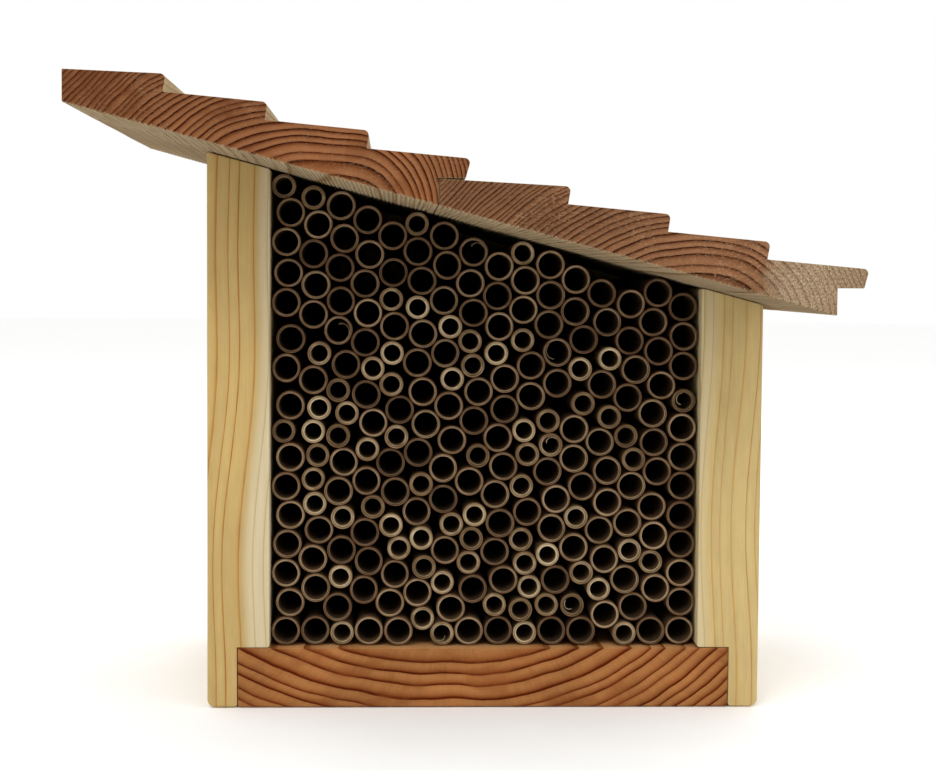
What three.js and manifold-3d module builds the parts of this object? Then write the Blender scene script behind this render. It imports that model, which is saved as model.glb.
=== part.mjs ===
// Insect hotel: a wooden box with a stepped lean-to roof, packed with paper tubes of two widths.
// Millimetres. X points right, the open front faces -Y and +Z is up.
// The origin is the middle of the face that the box stands on.

import * as THREE from "three";
import { mergeVertices } from "three/addons/utils/BufferGeometryUtils.js";
import Module from "manifold-3d";

const wasm = await Module();
wasm.setup();

// ---------- driving dimensions ----------

const boxWidth = 188;
const boxDepth = 136;
const sideThickness = 21;
const sideLip = 10; // what is left of a side board outside the floor board
const floorThickness = 20;
const lipRound = 2.5;
const clearance = 0.3; // gap kept between pieces that touch

const roofAngle = THREE.MathUtils.degToRad(14.9);
const roofHeightAtMiddle = 163; // underside of the roof over the origin
const roofLeft = -130.5;
const roofOverhang = 65;
const stepPitch = 31.5; // along the slope
const stepsPerBoard = 4;
const stepTipThickness = 16.3;
const stepRootThickness = 11;
const stepTipRound = 1.6;
const riserUndercut = 0.6;
const firstTip = -99.9; // x of the first step's tip
const leftEndRise = 1; // the roof's cut-off left end stands this much above the first tip
const lapLength = 9.4; // how far a board's tongue reaches over the next board
const tongueThickness = 6; // at the tongue's tip
const tongueUndercut = 1.2;

const backThickness = 12;
const backRecess = 3; // the back panel stands this far inside the rear edges

const wideTube = { outer: 9.9, bore: 8 };
const narrowTube = { outer: 8.2, bore: 5.7 };
const tubeGap = 0.12;
const tubeRoofGap = 0.2;
const tubeRearGap = 1;
const tubeSetback = 4.6; // the tubes' front ends lie this far inside the box
const tubeRagged = 0.7; // and vary by this much
const raggedTurn = 7.3; // radians from one tube to the next round the wave that they vary by
const looseTubeCount = 30;

const screw = { head: 3.9, shank: 1.9, headHeight: 2.8, point: 4, length: 40 };
const sunk = { floor: 0.6, roof: 0.8, back: 0.4 }; // how far the screw heads lie below the wood
const screwEndInset = 22; // from the boards' front and rear ends
const backScrewInset = 23; // from the floor board and from the roof
const screwHoleGap = 0.3;
const screwHoleAbove = 2; // a screw's hole is open this far above its head
const roofScrewInset = 6.5; // the right roof screws sit clear of the riser beside them

const hanger = { width: 44, height: 20, thickness: 1.8, corner: 4, middle: 118 };
const keyhole = { entry: 4.6, slot: 2.3, entryDrop: 3.4, rise: 7 };
const hangerPocket = { width: 16, height: 17, depth: 6, rise: 1 };
const hangerScrewSpacing = 32;
const hangerScrewLength = 11;
const overrun = 1; // cuts run this far past the faces that they open

// ---------- derived places ----------

const front = -boxDepth / 2;
const rear = boxDepth / 2;
const innerHalf = boxWidth / 2 - sideThickness;
const slope = Math.tan(roofAngle);
const stepPitchX = stepPitch * Math.cos(roofAngle);
const backFront = rear - backRecess - backThickness;
const tubeRear = backFront - tubeRearGap;

const roofUnderside = (x) => roofHeightAtMiddle - slope * x;
const aboveUnderside = (x, thickness) => roofUnderside(x) + thickness / Math.cos(roofAngle);

// ---------- materials ----------

const woodMaterial = (color) => new THREE.MeshStandardMaterial({ color, roughness: 0.75, metalness: 0 });

const materials = {
  pine: () => woodMaterial(0xdccb9c),
  larch: () => woodMaterial(0xa5683f),
  kraft: () => new THREE.MeshStandardMaterial({ color: 0x8f7355, roughness: 0.9, metalness: 0 }),
  steel: () => new THREE.MeshStandardMaterial({ color: 0xb9bcc0, roughness: 0.4, metalness: 0.9 }),
};

// ---------- solids ----------

function toManifold(geometry) {
  const bare = geometry.index ? geometry.toNonIndexed() : geometry.clone();
  bare.deleteAttribute("normal");
  bare.deleteAttribute("uv");
  const merged = mergeVertices(bare, 1e-4);
  return new wasm.Manifold(new wasm.Mesh({
    numProp: 3,
    vertProperties: new Float32Array(merged.attributes.position.array),
    triVerts: new Uint32Array(merged.index.array),
  }));
}

function toGeometry(solid) {
  const mesh = solid.getMesh();
  const geometry = new THREE.BufferGeometry();
  geometry.setAttribute("position", new THREE.BufferAttribute(new Float32Array(mesh.vertProperties), 3));
  geometry.setIndex(new THREE.BufferAttribute(new Uint32Array(mesh.triVerts), 1));
  geometry.computeVertexNormals();
  return geometry;
}

// A shape drawn in X and Z, made solid from one depth in Y to another.
function slab(shape, fromY, toY, curveSegments = 4) {
  const geometry = new THREE.ExtrudeGeometry(shape, {
    depth: toY - fromY,
    bevelEnabled: false,
    curveSegments,
  });
  geometry.rotateX(Math.PI / 2);
  geometry.translate(0, toY, 0);
  return toManifold(geometry);
}

function outline(points) {
  return new THREE.Shape(points.map(([x, z]) => new THREE.Vector2(x, z)));
}

function ring(x, z, radius, sides) {
  const points = [];
  for (let i = 0; i < sides; i += 1) {
    const angle = (2 * Math.PI * i) / sides;
    points.push([x + radius * Math.cos(angle), z + radius * Math.sin(angle)]);
  }
  return outline(points);
}

const group = new THREE.Group();

function addNode(name, solid, material) {
  const mesh = new THREE.Mesh(toGeometry(solid), material());
  mesh.name = name;
  group.add(mesh);
}

// ---------- wood screws ----------

const screwSides = 8;

// The profile of a countersunk wood screw, pointing down from a head flush with height 0.
function screwProfile(length, grow) {
  const head = screw.head + grow;
  const shank = screw.shank + grow;
  return [
    new THREE.Vector2(0, -length - grow),
    new THREE.Vector2(shank, -length + screw.point - grow),
    new THREE.Vector2(shank, -screw.headHeight),
    new THREE.Vector2(head, 0),
    new THREE.Vector2(0, 0),
  ];
}

function screwSolid(length, grow, place) {
  const profile = screwProfile(length, grow);
  if (grow > 0) {
    profile[4] = new THREE.Vector2(screw.head + grow, screwHoleAbove);
    profile.push(new THREE.Vector2(0, screwHoleAbove));
  }
  const geometry = new THREE.LatheGeometry(profile, screwSides);
  geometry.rotateX(Math.PI / 2);
  geometry.applyMatrix4(place);
  return toManifold(geometry);
}

// A screw whose head is at a point and whose shank runs in a direction.
function screwPlace(x, y, z, direction) {
  const turn = new THREE.Quaternion().setFromUnitVectors(new THREE.Vector3(0, 0, -1), direction);
  return new THREE.Matrix4().compose(new THREE.Vector3(x, y, z), turn, new THREE.Vector3(1, 1, 1));
}

const screws = [];

function planScrew(name, length, sunk, x, y, z, direction) {
  const head = new THREE.Vector3(x, y, z).addScaledVector(direction, sunk);
  const place = screwPlace(head.x, head.y, head.z, direction);
  screws.push({ name, solid: screwSolid(length, 0, place), hole: screwSolid(length, screwHoleGap, place) });
}

const up = new THREE.Vector3(0, 0, 1);
const inFromLeft = new THREE.Vector3(1, 0, 0);
const inFromRight = new THREE.Vector3(-1, 0, 0);
const forward = new THREE.Vector3(0, -1, 0);
const down = new THREE.Vector3(0, 0, -1);

for (const [sideName, sign, inward] of [["left", -1, inFromLeft], ["right", 1, inFromRight]]) {
  const over = sign < 0 ? -boxWidth / 2 + sideThickness / 2 : boxWidth / 2 - roofScrewInset;
  for (const [endName, y] of [["front", front + screwEndInset], ["rear", rear - screwEndInset]]) {
    const rebateMiddle = sign * (boxWidth / 2 - sideLip - (sideThickness - sideLip) / 2);
    planScrew(`floor_screw_${sideName}_${endName}`, screw.length, sunk.floor, rebateMiddle, y, 0, up);
    planScrew(`roof_screw_${sideName}_${endName}`, screw.length, sunk.roof, over, y, roofTopAt(over), down);
  }
  const low = floorThickness + backScrewInset;
  const high = roofUnderside(sign * innerHalf) - backScrewInset;
  for (const [levelName, z] of [["low", low], ["high", high]]) {
    const y = backFront + backThickness / 2;
    planScrew(`back_screw_${sideName}_${levelName}`, screw.length, sunk.back, (sign * boxWidth) / 2, y, z, inward);
  }
  const hangerX = (sign * hangerScrewSpacing) / 2;
  const plateRear = rear - backRecess + clearance + hanger.thickness;
  planScrew(`hanger_screw_${sideName}`, hangerScrewLength, 0, hangerX, plateRear, hanger.middle, forward);
}

function drilled(solid) {
  return screws.reduce((rest, { hole }) => rest.subtract(hole), solid);
}

// ---------- side boards, floor and back ----------

function sideBoard(sign) {
  const outer = (sign * boxWidth) / 2;
  const lip = outer - sign * sideLip;
  const inner = sign * innerHalf;
  const shoulder = floorThickness + clearance;
  const shape = new THREE.Shape();
  shape.moveTo(lip, 0);
  shape.lineTo(outer - sign * lipRound, 0);
  if (sign < 0) {
    shape.absarc(outer + lipRound, lipRound, lipRound, -Math.PI / 2, -Math.PI, true);
  } else {
    shape.absarc(outer - lipRound, lipRound, lipRound, -Math.PI / 2, 0, false);
  }
  shape.lineTo(outer, roofUnderside(outer) - clearance);
  shape.lineTo(inner, roofUnderside(inner) - clearance);
  shape.lineTo(inner, shoulder);
  shape.lineTo(lip, shoulder);
  return slab(shape, front, rear);
}

const floorHalf = boxWidth / 2 - sideLip - clearance;
const floorShape = outline([
  [-floorHalf, 0],
  [floorHalf, 0],
  [floorHalf, floorThickness],
  [-floorHalf, floorThickness],
]);

const backHalf = innerHalf - clearance;
const backShape = outline([
  [-backHalf, floorThickness + clearance],
  [backHalf, floorThickness + clearance],
  [backHalf, roofUnderside(backHalf) - clearance],
  [-backHalf, roofUnderside(-backHalf) - clearance],
]);
const pocketMiddle = hanger.middle + hangerPocket.rise;
const pocketShape = outline([
  [-hangerPocket.width / 2, pocketMiddle - hangerPocket.height / 2],
  [hangerPocket.width / 2, pocketMiddle - hangerPocket.height / 2],
  [hangerPocket.width / 2, pocketMiddle + hangerPocket.height / 2],
  [-hangerPocket.width / 2, pocketMiddle + hangerPocket.height / 2],
]);
const backRear = rear - backRecess;
const pocket = slab(pocketShape, backRear - hangerPocket.depth, backRear + overrun);

addNode("left_side", drilled(sideBoard(-1)), materials.pine);
addNode("right_side", drilled(sideBoard(1)), materials.pine);
addNode("floor_board", drilled(slab(floorShape, front, rear)), materials.larch);
addNode("back_panel", drilled(slab(backShape, backFront, backRear).subtract(pocket)), materials.pine);

// ---------- roof boards ----------

function tipAt(step) {
  const x = firstTip + step * stepPitchX;
  return { x, z: aboveUnderside(x, stepTipThickness) };
}

function rootAt(step) {
  const { x } = tipAt(step);
  return { x: x - riserUndercut, z: aboveUnderside(x, stepRootThickness) };
}

// Height of the roof's stepped surface, used to set the screw heads flush.
function roofTopAt(x) {
  const step = Math.ceil((x - firstTip) / stepPitchX);
  const from = rootAt(step - 1);
  const to = tipAt(step);
  return from.z + ((to.z - from.z) * (x - from.x)) / (to.x - from.x);
}

// One board of steps in outline. Its right end is undercut to a tongue that laps the next board,
// and its left end is cut off upright.
function roofOutline(firstStep, left, leftTop) {
  const lastTip = tipAt(firstStep + stepsPerBoard - 1);
  const heel = lastTip.x - lapLength;
  const tongueUnder = lastTip.z - tongueThickness;
  const shape = new THREE.Shape();
  shape.moveTo(left, roofUnderside(left));
  shape.lineTo(heel, roofUnderside(heel));
  shape.lineTo(heel, tongueUnder);
  shape.lineTo(lastTip.x - tongueUndercut, tongueUnder);
  for (let step = firstStep + stepsPerBoard - 1; step >= firstStep; step -= 1) {
    const tip = tipAt(step);
    if (step < firstStep + stepsPerBoard - 1) {
      const root = rootAt(step);
      shape.lineTo(root.x, root.z);
    }
    shape.absarc(tip.x - stepTipRound, tip.z - stepTipRound, stepTipRound, 0, Math.PI / 2, false);
  }
  shape.lineTo(left, leftTop);
  return shape;
}

const lowerFirst = stepsPerBoard;
const upperHeel = tipAt(lowerFirst - 1).x - lapLength;
const lapTop = tipAt(lowerFirst - 1).z - tongueThickness - clearance;
const upperTop = tipAt(0).z + leftEndRise;
const upperShape = roofOutline(0, roofLeft, upperTop);
const lowerShape = roofOutline(lowerFirst, upperHeel + clearance, lapTop);
const roofFront = front - roofOverhang;
const tipSegments = 6;

addNode("roof_board_upper", drilled(slab(upperShape, roofFront, rear, tipSegments)), materials.larch);
addNode("roof_board_lower", drilled(slab(lowerShape, roofFront, rear, tipSegments)), materials.larch);

// ---------- hanger plate ----------

function hangerShape() {
  const halfWidth = hanger.width / 2;
  const halfHeight = hanger.height / 2;
  const corner = hanger.corner;
  const shape = new THREE.Shape();
  shape.moveTo(-halfWidth + corner, -halfHeight);
  shape.absarc(halfWidth - corner, -halfHeight + corner, corner, -Math.PI / 2, 0, false);
  shape.absarc(halfWidth - corner, halfHeight - corner, corner, 0, Math.PI / 2, false);
  shape.absarc(-halfWidth + corner, halfHeight - corner, corner, Math.PI / 2, Math.PI, false);
  shape.absarc(-halfWidth + corner, -halfHeight + corner, corner, Math.PI, 1.5 * Math.PI, false);
  const hole = new THREE.Path();
  const { entry, slot, entryDrop, rise } = keyhole;
  const spread = Math.asin(slot / entry);
  hole.absarc(0, -entryDrop, entry, Math.PI / 2 + spread, Math.PI / 2 - spread + 2 * Math.PI, false);
  hole.absarc(0, rise - entryDrop + slot / 2, slot, 0, Math.PI, false);
  shape.holes.push(hole);
  return shape;
}

const plateFront = backRear + clearance;
const plate = slab(hangerShape(), plateFront, plateFront + hanger.thickness, 8);
addNode("hanger_plate", drilled(plate.translate([0, 0, hanger.middle])), materials.steel);

for (const { name, solid } of screws) {
  addNode(name, solid, materials.steel);
}

// ---------- how the tubes lie ----------

// The tubes stand in columns, each read from the floor up: W is a wide tube, n a narrow one.
// Above the last letter of a column every tube is wide.
const columns = [
  "WWWWWWWnWWWWWWWW",
  "WWWWnnnnnWnWWWWW",
  "nWnWnWWnnnWWWWWW",
  "WWWWnWnWWnWWWWWW",
  "WWWnnWWnWnnWnWWW",
  "nWnnWnWWWWWnWWWW",
  "nWnWnWWWWnWnWWW",
  "WWnnnWnWWnnWWWW",
  "WnWWWWWWWWnWWW",
  "nnnnnWnnnWWnWWW",
  "WnWnWWWnnWWWWW",
  "WnnWnWWWnnWWWW",
  "WnWWWWWnWnWWW",
  "nWWnWWnnWWWW",
  "WWnWWWWWWWWW",
  "WWWWWWWWnWW",
];
const sway = { leftWall: 1.5, second: 1, middle: 1.5, rightWall: 0.3 }; // sideways play of a column's tubes
const swaySteps = 20;
const pocketStep = 0.5;
const sameHeight = 1e-6;

function columnHome(index) {
  const wallHome = wideTube.outer / 2 + clearance;
  const second = -innerHalf + wallHome + wideTube.outer + clearance;
  if (index === 0) {
    return { home: -innerHalf + wallHome, play: sway.leftWall };
  }
  if (index === 1) {
    return { home: second, play: sway.second };
  }
  const last = columns.length - 1;
  const home = second + ((index - 1) * (innerHalf - wallHome - second)) / (last - 1);
  return { home, play: index === last ? sway.rightWall : sway.middle };
}

// The height at which a tube dropped at x comes to rest on the floor or on the tubes below it.
function restingHeight(laid, x, radius) {
  let z = floorThickness + clearance + radius;
  for (const tube of laid) {
    const reach = radius + tube.radius + tubeGap;
    const aside = Math.abs(x - tube.x);
    if (aside < reach) {
      z = Math.max(z, tube.z + Math.sqrt(reach * reach - aside * aside));
    }
  }
  return z;
}

// The lowest place that the next tube of a column can roll to, or null once the roof is reached.
function lowestPlace(laid, index, letter) {
  const kind = letter === "n" ? narrowTube : wideTube;
  const radius = kind.outer / 2;
  const limit = innerHalf - clearance - radius;
  const { home, play } = columnHome(index);
  let best = null;
  for (let i = -swaySteps; i <= swaySteps; i += 1) {
    const x = THREE.MathUtils.clamp(home + (play * i) / swaySteps, -limit, limit);
    const z = restingHeight(laid, x, radius);
    const fits = z + radius / Math.cos(roofAngle) < roofUnderside(x) - tubeRoofGap;
    if (fits && (best === null || z < best.z - sameHeight)) {
      best = { x, z, radius, kind, column: index };
    }
  }
  return best;
}

// The roomiest place under the roof that is still open for a tube of a kind, or null.
function pocketPlace(laid, kind) {
  const radius = kind.outer / 2;
  const limit = innerHalf - clearance - radius;
  let best = null;
  for (let x = -limit; x <= limit; x += pocketStep) {
    const z = restingHeight(laid, x, radius);
    const room = roofUnderside(x) - tubeRoofGap - z - radius / Math.cos(roofAngle);
    if (room > 0 && (best === null || room > best.room)) {
      best = { x, z, radius, kind, room };
    }
  }
  return best;
}

// Tubes are laid one at a time, always in the column where the next one comes to rest lowest. When
// no column takes another, the pockets left under the roof are filled.
function layTubes() {
  const laid = [];
  const filled = columns.map(() => 0);
  const lay = (tube) => {
    laid.push({ ...tube, front: front + tubeSetback + tubeRagged * Math.sin(raggedTurn * laid.length) });
  };
  for (;;) {
    const places = columns.map((letters, index) => lowestPlace(laid, index, letters[filled[index]]));
    const open = places.filter((place) => place !== null);
    if (open.length === 0) {
      break;
    }
    const next = open.reduce((a, b) => (b.z - b.radius < a.z - a.radius - sameHeight ? b : a));
    lay({ ...next, level: filled[next.column] });
    filled[next.column] += 1;
  }
  for (const kind of [wideTube, narrowTube]) {
    for (let place = pocketPlace(laid, kind); place !== null; place = pocketPlace(laid, kind)) {
      lay(place);
    }
  }
  return laid;
}

// ---------- tubes ----------

const looseSides = 10;
const bundledSides = new Map([[wideTube, 8], [narrowTube, 6]]);
const bundlePlate = 2; // thickness of the backing that holds a bundle's tubes together
const bundleReach = 2.6; // the backing spans gaps up to this wide between a bundle's tubes
const tieHalfWidth = 1.2;

const tubes = layTubes();

// The loose tubes are those in the pockets under the roof and the last wide ones laid before them.
const loose = new Set();
for (const tube of tubes.toReversed()) {
  if (loose.size < looseTubeCount && (tube.kind === wideTube || tube.column === undefined)) {
    loose.add(tube);
  }
}

[...loose].sort((a, b) => a.x - b.x).forEach((tube, index) => {
  const shape = ring(tube.x, tube.z, tube.radius, looseSides);
  shape.holes.push(ring(tube.x, tube.z, tube.kind.bore / 2, looseSides));
  const number = String(index + 1).padStart(2, "0");
  addNode(`tube_${number}`, slab(shape, tube.front, tubeRear), materials.kraft);
});

const bundled = tubes.filter((tube) => !loose.has(tube));
const bundleColumns = [["left", 5], ["middle", 10], ["right", columns.length]];
const bundleLevels = ["low", "mid", "high"];

function bundleName(tube) {
  const [across] = bundleColumns.find(([, end]) => tube.column <= end);
  const top = bundled.filter((other) => other.column === tube.column).length;
  const level = Math.min(bundleLevels.length - 1, Math.floor((tube.level * bundleLevels.length) / top));
  return `bundle_${bundleLevels[level]}_${across}`;
}

function gapBetween(a, b) {
  return Math.hypot(a.x - b.x, a.z - b.z) - a.radius - b.radius;
}

// Distance in the plane of the ends from a tube's axis to a triangle, or 0 inside it.
function distanceToTriangle(tube, corners) {
  const triangle = new THREE.Triangle(...corners.map(({ x, z }) => new THREE.Vector3(x, z, 0)));
  const target = new THREE.Vector3(tube.x, tube.z, 0);
  return triangle.closestPointToPoint(target, new THREE.Vector3()).distanceTo(target);
}

function backingSlab(corners) {
  return slab(outline(corners.map(({ x, z }) => [x, z])), tubeRear - bundlePlate, tubeRear);
}

// A narrow strip of backing from one tube's axis to another's.
function tie(a, b) {
  const length = Math.hypot(b.x - a.x, b.z - a.z);
  const sideX = (-(b.z - a.z) / length) * tieHalfWidth;
  const sideZ = ((b.x - a.x) / length) * tieHalfWidth;
  return backingSlab([
    { x: a.x - sideX, z: a.z - sideZ },
    { x: b.x - sideX, z: b.z - sideZ },
    { x: b.x + sideX, z: b.z + sideZ },
    { x: a.x + sideX, z: a.z + sideZ },
  ]);
}

// The backing of a bundle: triangles between the axes of neighbouring tubes where they are clear
// of every other tube, and ties to the tubes that no triangle reaches.
function backing(members) {
  const others = tubes.filter((tube) => !members.includes(tube));
  const near = (a, b) => gapBetween(a, b) < bundleReach;
  const joined = new Map(members.map((tube) => [tube, tube]));
  const rootOf = (tube) => (joined.get(tube) === tube ? tube : rootOf(joined.get(tube)));
  const unite = (a, b) => joined.set(rootOf(a), rootOf(b));
  const parts = [];
  members.forEach((a, i) => members.slice(i + 1).forEach((b, j) => members.slice(i + j + 2).forEach((c) => {
    if (!near(a, b) || !near(a, c) || !near(b, c)) {
      return;
    }
    const turned = (b.x - a.x) * (c.z - a.z) - (b.z - a.z) * (c.x - a.x) > 0 ? [a, b, c] : [a, c, b];
    if (others.every((tube) => distanceToTriangle(tube, turned) > tube.radius + clearance)) {
      parts.push(backingSlab(turned));
      unite(a, b);
      unite(b, c);
    }
  })));
  const pairs = members.flatMap((a, i) => members.slice(i + 1).map((b) => [a, b]));
  pairs.sort((p, q) => gapBetween(...p) - gapBetween(...q));
  for (const [a, b] of pairs) {
    const reach = (tube) => distanceToTriangle(tube, [a, b, b]) - tube.radius - tieHalfWidth;
    if (rootOf(a) !== rootOf(b) && others.every((tube) => reach(tube) > clearance)) {
      parts.push(tie(a, b));
      unite(a, b);
    }
  }
  return parts;
}

const bundles = new Map();
for (const tube of bundled) {
  const name = bundleName(tube);
  bundles.set(name, [...(bundles.get(name) ?? []), tube]);
}

// Joins solids and forgets where they came from, so that their flat faces run on as one.
function fuse(parts) {
  return toManifold(toGeometry(parts.reduce((whole, part) => whole.add(part))));
}

for (const [name, members] of bundles) {
  const shafts = members.map((tube) => {
    const shape = ring(tube.x, tube.z, tube.radius, bundledSides.get(tube.kind));
    return slab(shape, tube.front, tubeRear);
  });
  const bores = members.map((tube) => {
    const shape = ring(tube.x, tube.z, tube.kind.bore / 2, bundledSides.get(tube.kind));
    return slab(shape, tube.front - overrun, tubeRear - bundlePlate / 2);
  });
  const solid = fuse([fuse(backing(members)), ...shafts]);
  addNode(name, bores.reduce((rest, bore) => rest.subtract(bore), solid), materials.kraft);
}

export default group;
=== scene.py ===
import math
import random

import bmesh
import bpy
from mathutils import Matrix, Vector, noise


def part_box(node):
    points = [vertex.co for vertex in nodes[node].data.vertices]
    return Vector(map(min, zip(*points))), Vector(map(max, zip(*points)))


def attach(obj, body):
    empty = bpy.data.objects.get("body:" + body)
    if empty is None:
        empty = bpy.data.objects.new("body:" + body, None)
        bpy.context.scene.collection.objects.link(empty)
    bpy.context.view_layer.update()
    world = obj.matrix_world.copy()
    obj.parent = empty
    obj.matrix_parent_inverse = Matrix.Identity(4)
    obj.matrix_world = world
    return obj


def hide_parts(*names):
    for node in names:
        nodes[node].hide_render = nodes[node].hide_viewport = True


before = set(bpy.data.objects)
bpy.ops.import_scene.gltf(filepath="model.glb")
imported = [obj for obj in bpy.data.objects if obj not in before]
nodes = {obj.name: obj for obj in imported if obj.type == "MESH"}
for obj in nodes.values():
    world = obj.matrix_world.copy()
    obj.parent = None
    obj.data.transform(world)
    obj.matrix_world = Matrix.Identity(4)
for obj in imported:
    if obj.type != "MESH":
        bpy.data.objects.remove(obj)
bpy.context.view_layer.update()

MM = 0.001
MM_PER_METRE = 1000
NOISE_SEED = 5
TUBE_SEED = 11
scene = bpy.context.scene
noise.seed_set(NOISE_SEED)  # noise_vector() starts from the clock otherwise


# ---------- camera ----------

CAMERA_PLACE = (-0.0309, -0.6926, 0.1456)
CAMERA_YAW = math.radians(2.27)  # to the right of straight ahead
CAMERA_PITCH = math.radians(-3.26)
CAMERA_ROLL = math.radians(0.404)
CAMERA_LENS = 71.2
CAMERA_SENSOR = 36
CAMERA_NEAR = 0.01

ahead = Vector((
    math.sin(CAMERA_YAW) * math.cos(CAMERA_PITCH),
    math.cos(CAMERA_YAW) * math.cos(CAMERA_PITCH),
    math.sin(CAMERA_PITCH),
))
level_right = Vector((math.cos(CAMERA_YAW), -math.sin(CAMERA_YAW), 0))
level_up = level_right.cross(ahead)
camera_right = level_right * math.cos(CAMERA_ROLL) + level_up * math.sin(CAMERA_ROLL)
camera_up = level_up * math.cos(CAMERA_ROLL) - level_right * math.sin(CAMERA_ROLL)

camera_data = bpy.data.cameras.new("camera")
camera_data.lens = CAMERA_LENS
camera_data.sensor_width = CAMERA_SENSOR
camera_data.clip_start = CAMERA_NEAR
camera = bpy.data.objects.new("camera", camera_data)
camera.matrix_world = Matrix.Translation(CAMERA_PLACE) @ Matrix((
    (camera_right.x, camera_up.x, -ahead.x),
    (camera_right.y, camera_up.y, -ahead.y),
    (camera_right.z, camera_up.z, -ahead.z),
)).to_4x4()
scene.collection.objects.link(camera)
scene.camera = camera


# ---------- material nodes, written as arithmetic ----------

def linear(red, green, blue):
    """A colour given as 0 to 255 in sRGB, as Blender's linear RGBA."""
    def channel(value):
        value /= 255
        return value / 12.92 if value <= 0.04045 else ((value + 0.055) / 1.055) ** 2.4
    return (channel(red), channel(green), channel(blue), 1)


def stops(positions, colours):
    """The stops of a ramp, from sRGB colours."""
    return [(position, linear(*colour)) for position, colour in zip(positions, colours)]


class Graph:
    """One material and short names for the nodes that make it."""

    def __init__(self, name):
        self.material = bpy.data.materials.new(name)
        self.material.use_nodes = True
        self.tree = self.material.node_tree
        self.shader = self.tree.nodes["Principled BSDF"]
        self.places = self.tree.nodes.new("ShaderNodeTexCoord")

    def put(self, socket, value):
        if isinstance(value, bpy.types.NodeSocket):
            self.tree.links.new(value, socket)
        else:
            socket.default_value = value

    def math(self, operation, *values):
        node = self.tree.nodes.new("ShaderNodeMath")
        node.operation = operation
        for socket, value in zip(node.inputs, values):
            self.put(socket, value)
        return node.outputs[0]

    def add(self, a, b):
        return self.math("ADD", a, b)

    def sub(self, a, b):
        return self.math("SUBTRACT", a, b)

    def mul(self, a, b):
        return self.math("MULTIPLY", a, b)

    def reach(self, a, b, power):
        """The distance that is a circle's at a power of 2, and squarer above it."""
        a_part = self.math("POWER", self.math("ABSOLUTE", a), power)
        b_part = self.math("POWER", self.math("ABSOLUTE", b), power)
        return self.math("POWER", self.add(a_part, b_part), 1 / power)

    def split(self, vector):
        node = self.tree.nodes.new("ShaderNodeSeparateXYZ")
        self.put(node.inputs[0], vector)
        return node.outputs[0], node.outputs[1], node.outputs[2]

    def join(self, x, y, z):
        node = self.tree.nodes.new("ShaderNodeCombineXYZ")
        for socket, value in zip(node.inputs, (x, y, z)):
            self.put(socket, value)
        return node.outputs[0]

    def millimetres(self):
        """The point on the object, in millimetres in the row frame."""
        x, y, z = self.split(self.places.outputs["Object"])
        return tuple(self.mul(part, MM_PER_METRE) for part in (x, y, z))

    def facing(self, axis):
        """How squarely the surface faces along an axis, from 0 to 1."""
        parts = self.split(self.places.outputs["Normal"])
        return self.math("ABSOLUTE", parts["XYZ".index(axis)])

    def noise(self, vector, scale=1, detail=2, rough=0.5):
        node = self.tree.nodes.new("ShaderNodeTexNoise")
        self.put(node.inputs["Vector"], vector)
        node.inputs["Scale"].default_value = scale
        node.inputs["Detail"].default_value = detail
        node.inputs["Roughness"].default_value = rough
        return node.outputs["Fac"]

    def noise_along(self, value):
        node = self.tree.nodes.new("ShaderNodeTexNoise")
        node.noise_dimensions = "1D"
        self.put(node.inputs["W"], value)
        node.inputs["Scale"].default_value = 1
        node.inputs["Detail"].default_value = 0
        return node.outputs["Fac"]

    def waves(self, point, frequencies, detail=2, rough=0.5):
        """Noise with its own number of waves per millimetre along each axis of a point."""
        parts = [self.mul(part, frequency) for part, frequency in zip(point, frequencies)]
        return self.noise(self.join(*parts), 1, detail, rough)

    def swing(self, texture, amount):
        """A texture from 0 to 1 as a number that swings evenly about 0."""
        return self.mul(self.sub(texture, 0.5), amount)

    def level(self, textures, amounts):
        """A number around 1, swung by each texture that has an amount."""
        total = 1.0
        for name, amount in amounts.items():
            total = self.add(total, self.swing(textures[name], amount))
        return total

    def hashed(self, value):
        """A number from 0 to 1 that jumps about from one value to the next."""
        node = self.tree.nodes.new("ShaderNodeTexWhiteNoise")
        node.noise_dimensions = "1D"
        self.put(node.inputs["W"], value)
        return node.outputs["Value"]

    def spread(self, value, low, high, to_low=0, to_high=1, kind="SMOOTHSTEP"):
        node = self.tree.nodes.new("ShaderNodeMapRange")
        node.interpolation_type = kind
        for socket, given in zip(node.inputs, (value, low, high, to_low, to_high)):
            self.put(socket, given)
        return node.outputs[0]

    def ramp(self, value, steps):
        node = self.tree.nodes.new("ShaderNodeValToRGB")
        elements = node.color_ramp.elements
        while len(elements) < len(steps):
            elements.new(0.5)
        for element, (position, colour) in zip(elements, steps):
            element.position = position
            element.color = colour
        self.put(node.inputs[0], value)
        return node.outputs[0]

    def curve(self, value, steps):
        """A grey ramp, read as a number."""
        return self.ramp(value, [(position, (level, level, level, 1)) for position, level in steps])

    def blend(self, amount, a, b, kind="MIX"):
        node = self.tree.nodes.new("ShaderNodeMix")
        node.data_type = "RGBA"
        node.blend_type = kind
        self.put(node.inputs[0], amount)
        self.put(node.inputs[6], a)
        self.put(node.inputs[7], b)
        return node.outputs[2]

    def shade(self, colour, level):
        """The colour made lighter or darker by a number around 1."""
        return self.blend(1.0, colour, self.join(level, level, level), "MULTIPLY")

    def attribute(self, name):
        node = self.tree.nodes.new("ShaderNodeAttribute")
        node.attribute_name = name
        return node.outputs["Fac"]

    def finish(self, colour, roughness, height, depth, strength=0.6):
        """Wires the shader. Height is a number and depth is its scale in metres."""
        self.put(self.shader.inputs["Base Color"], colour)
        self.put(self.shader.inputs["Roughness"], roughness)
        bump = self.tree.nodes.new("ShaderNodeBump")
        bump.inputs["Strength"].default_value = strength
        bump.inputs["Distance"].default_value = depth
        self.put(bump.inputs["Height"], height)
        self.put(self.shader.inputs["Normal"], bump.outputs[0])
        return self.material


# ---------- wood, as a log that the board was sawn from ----------

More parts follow.
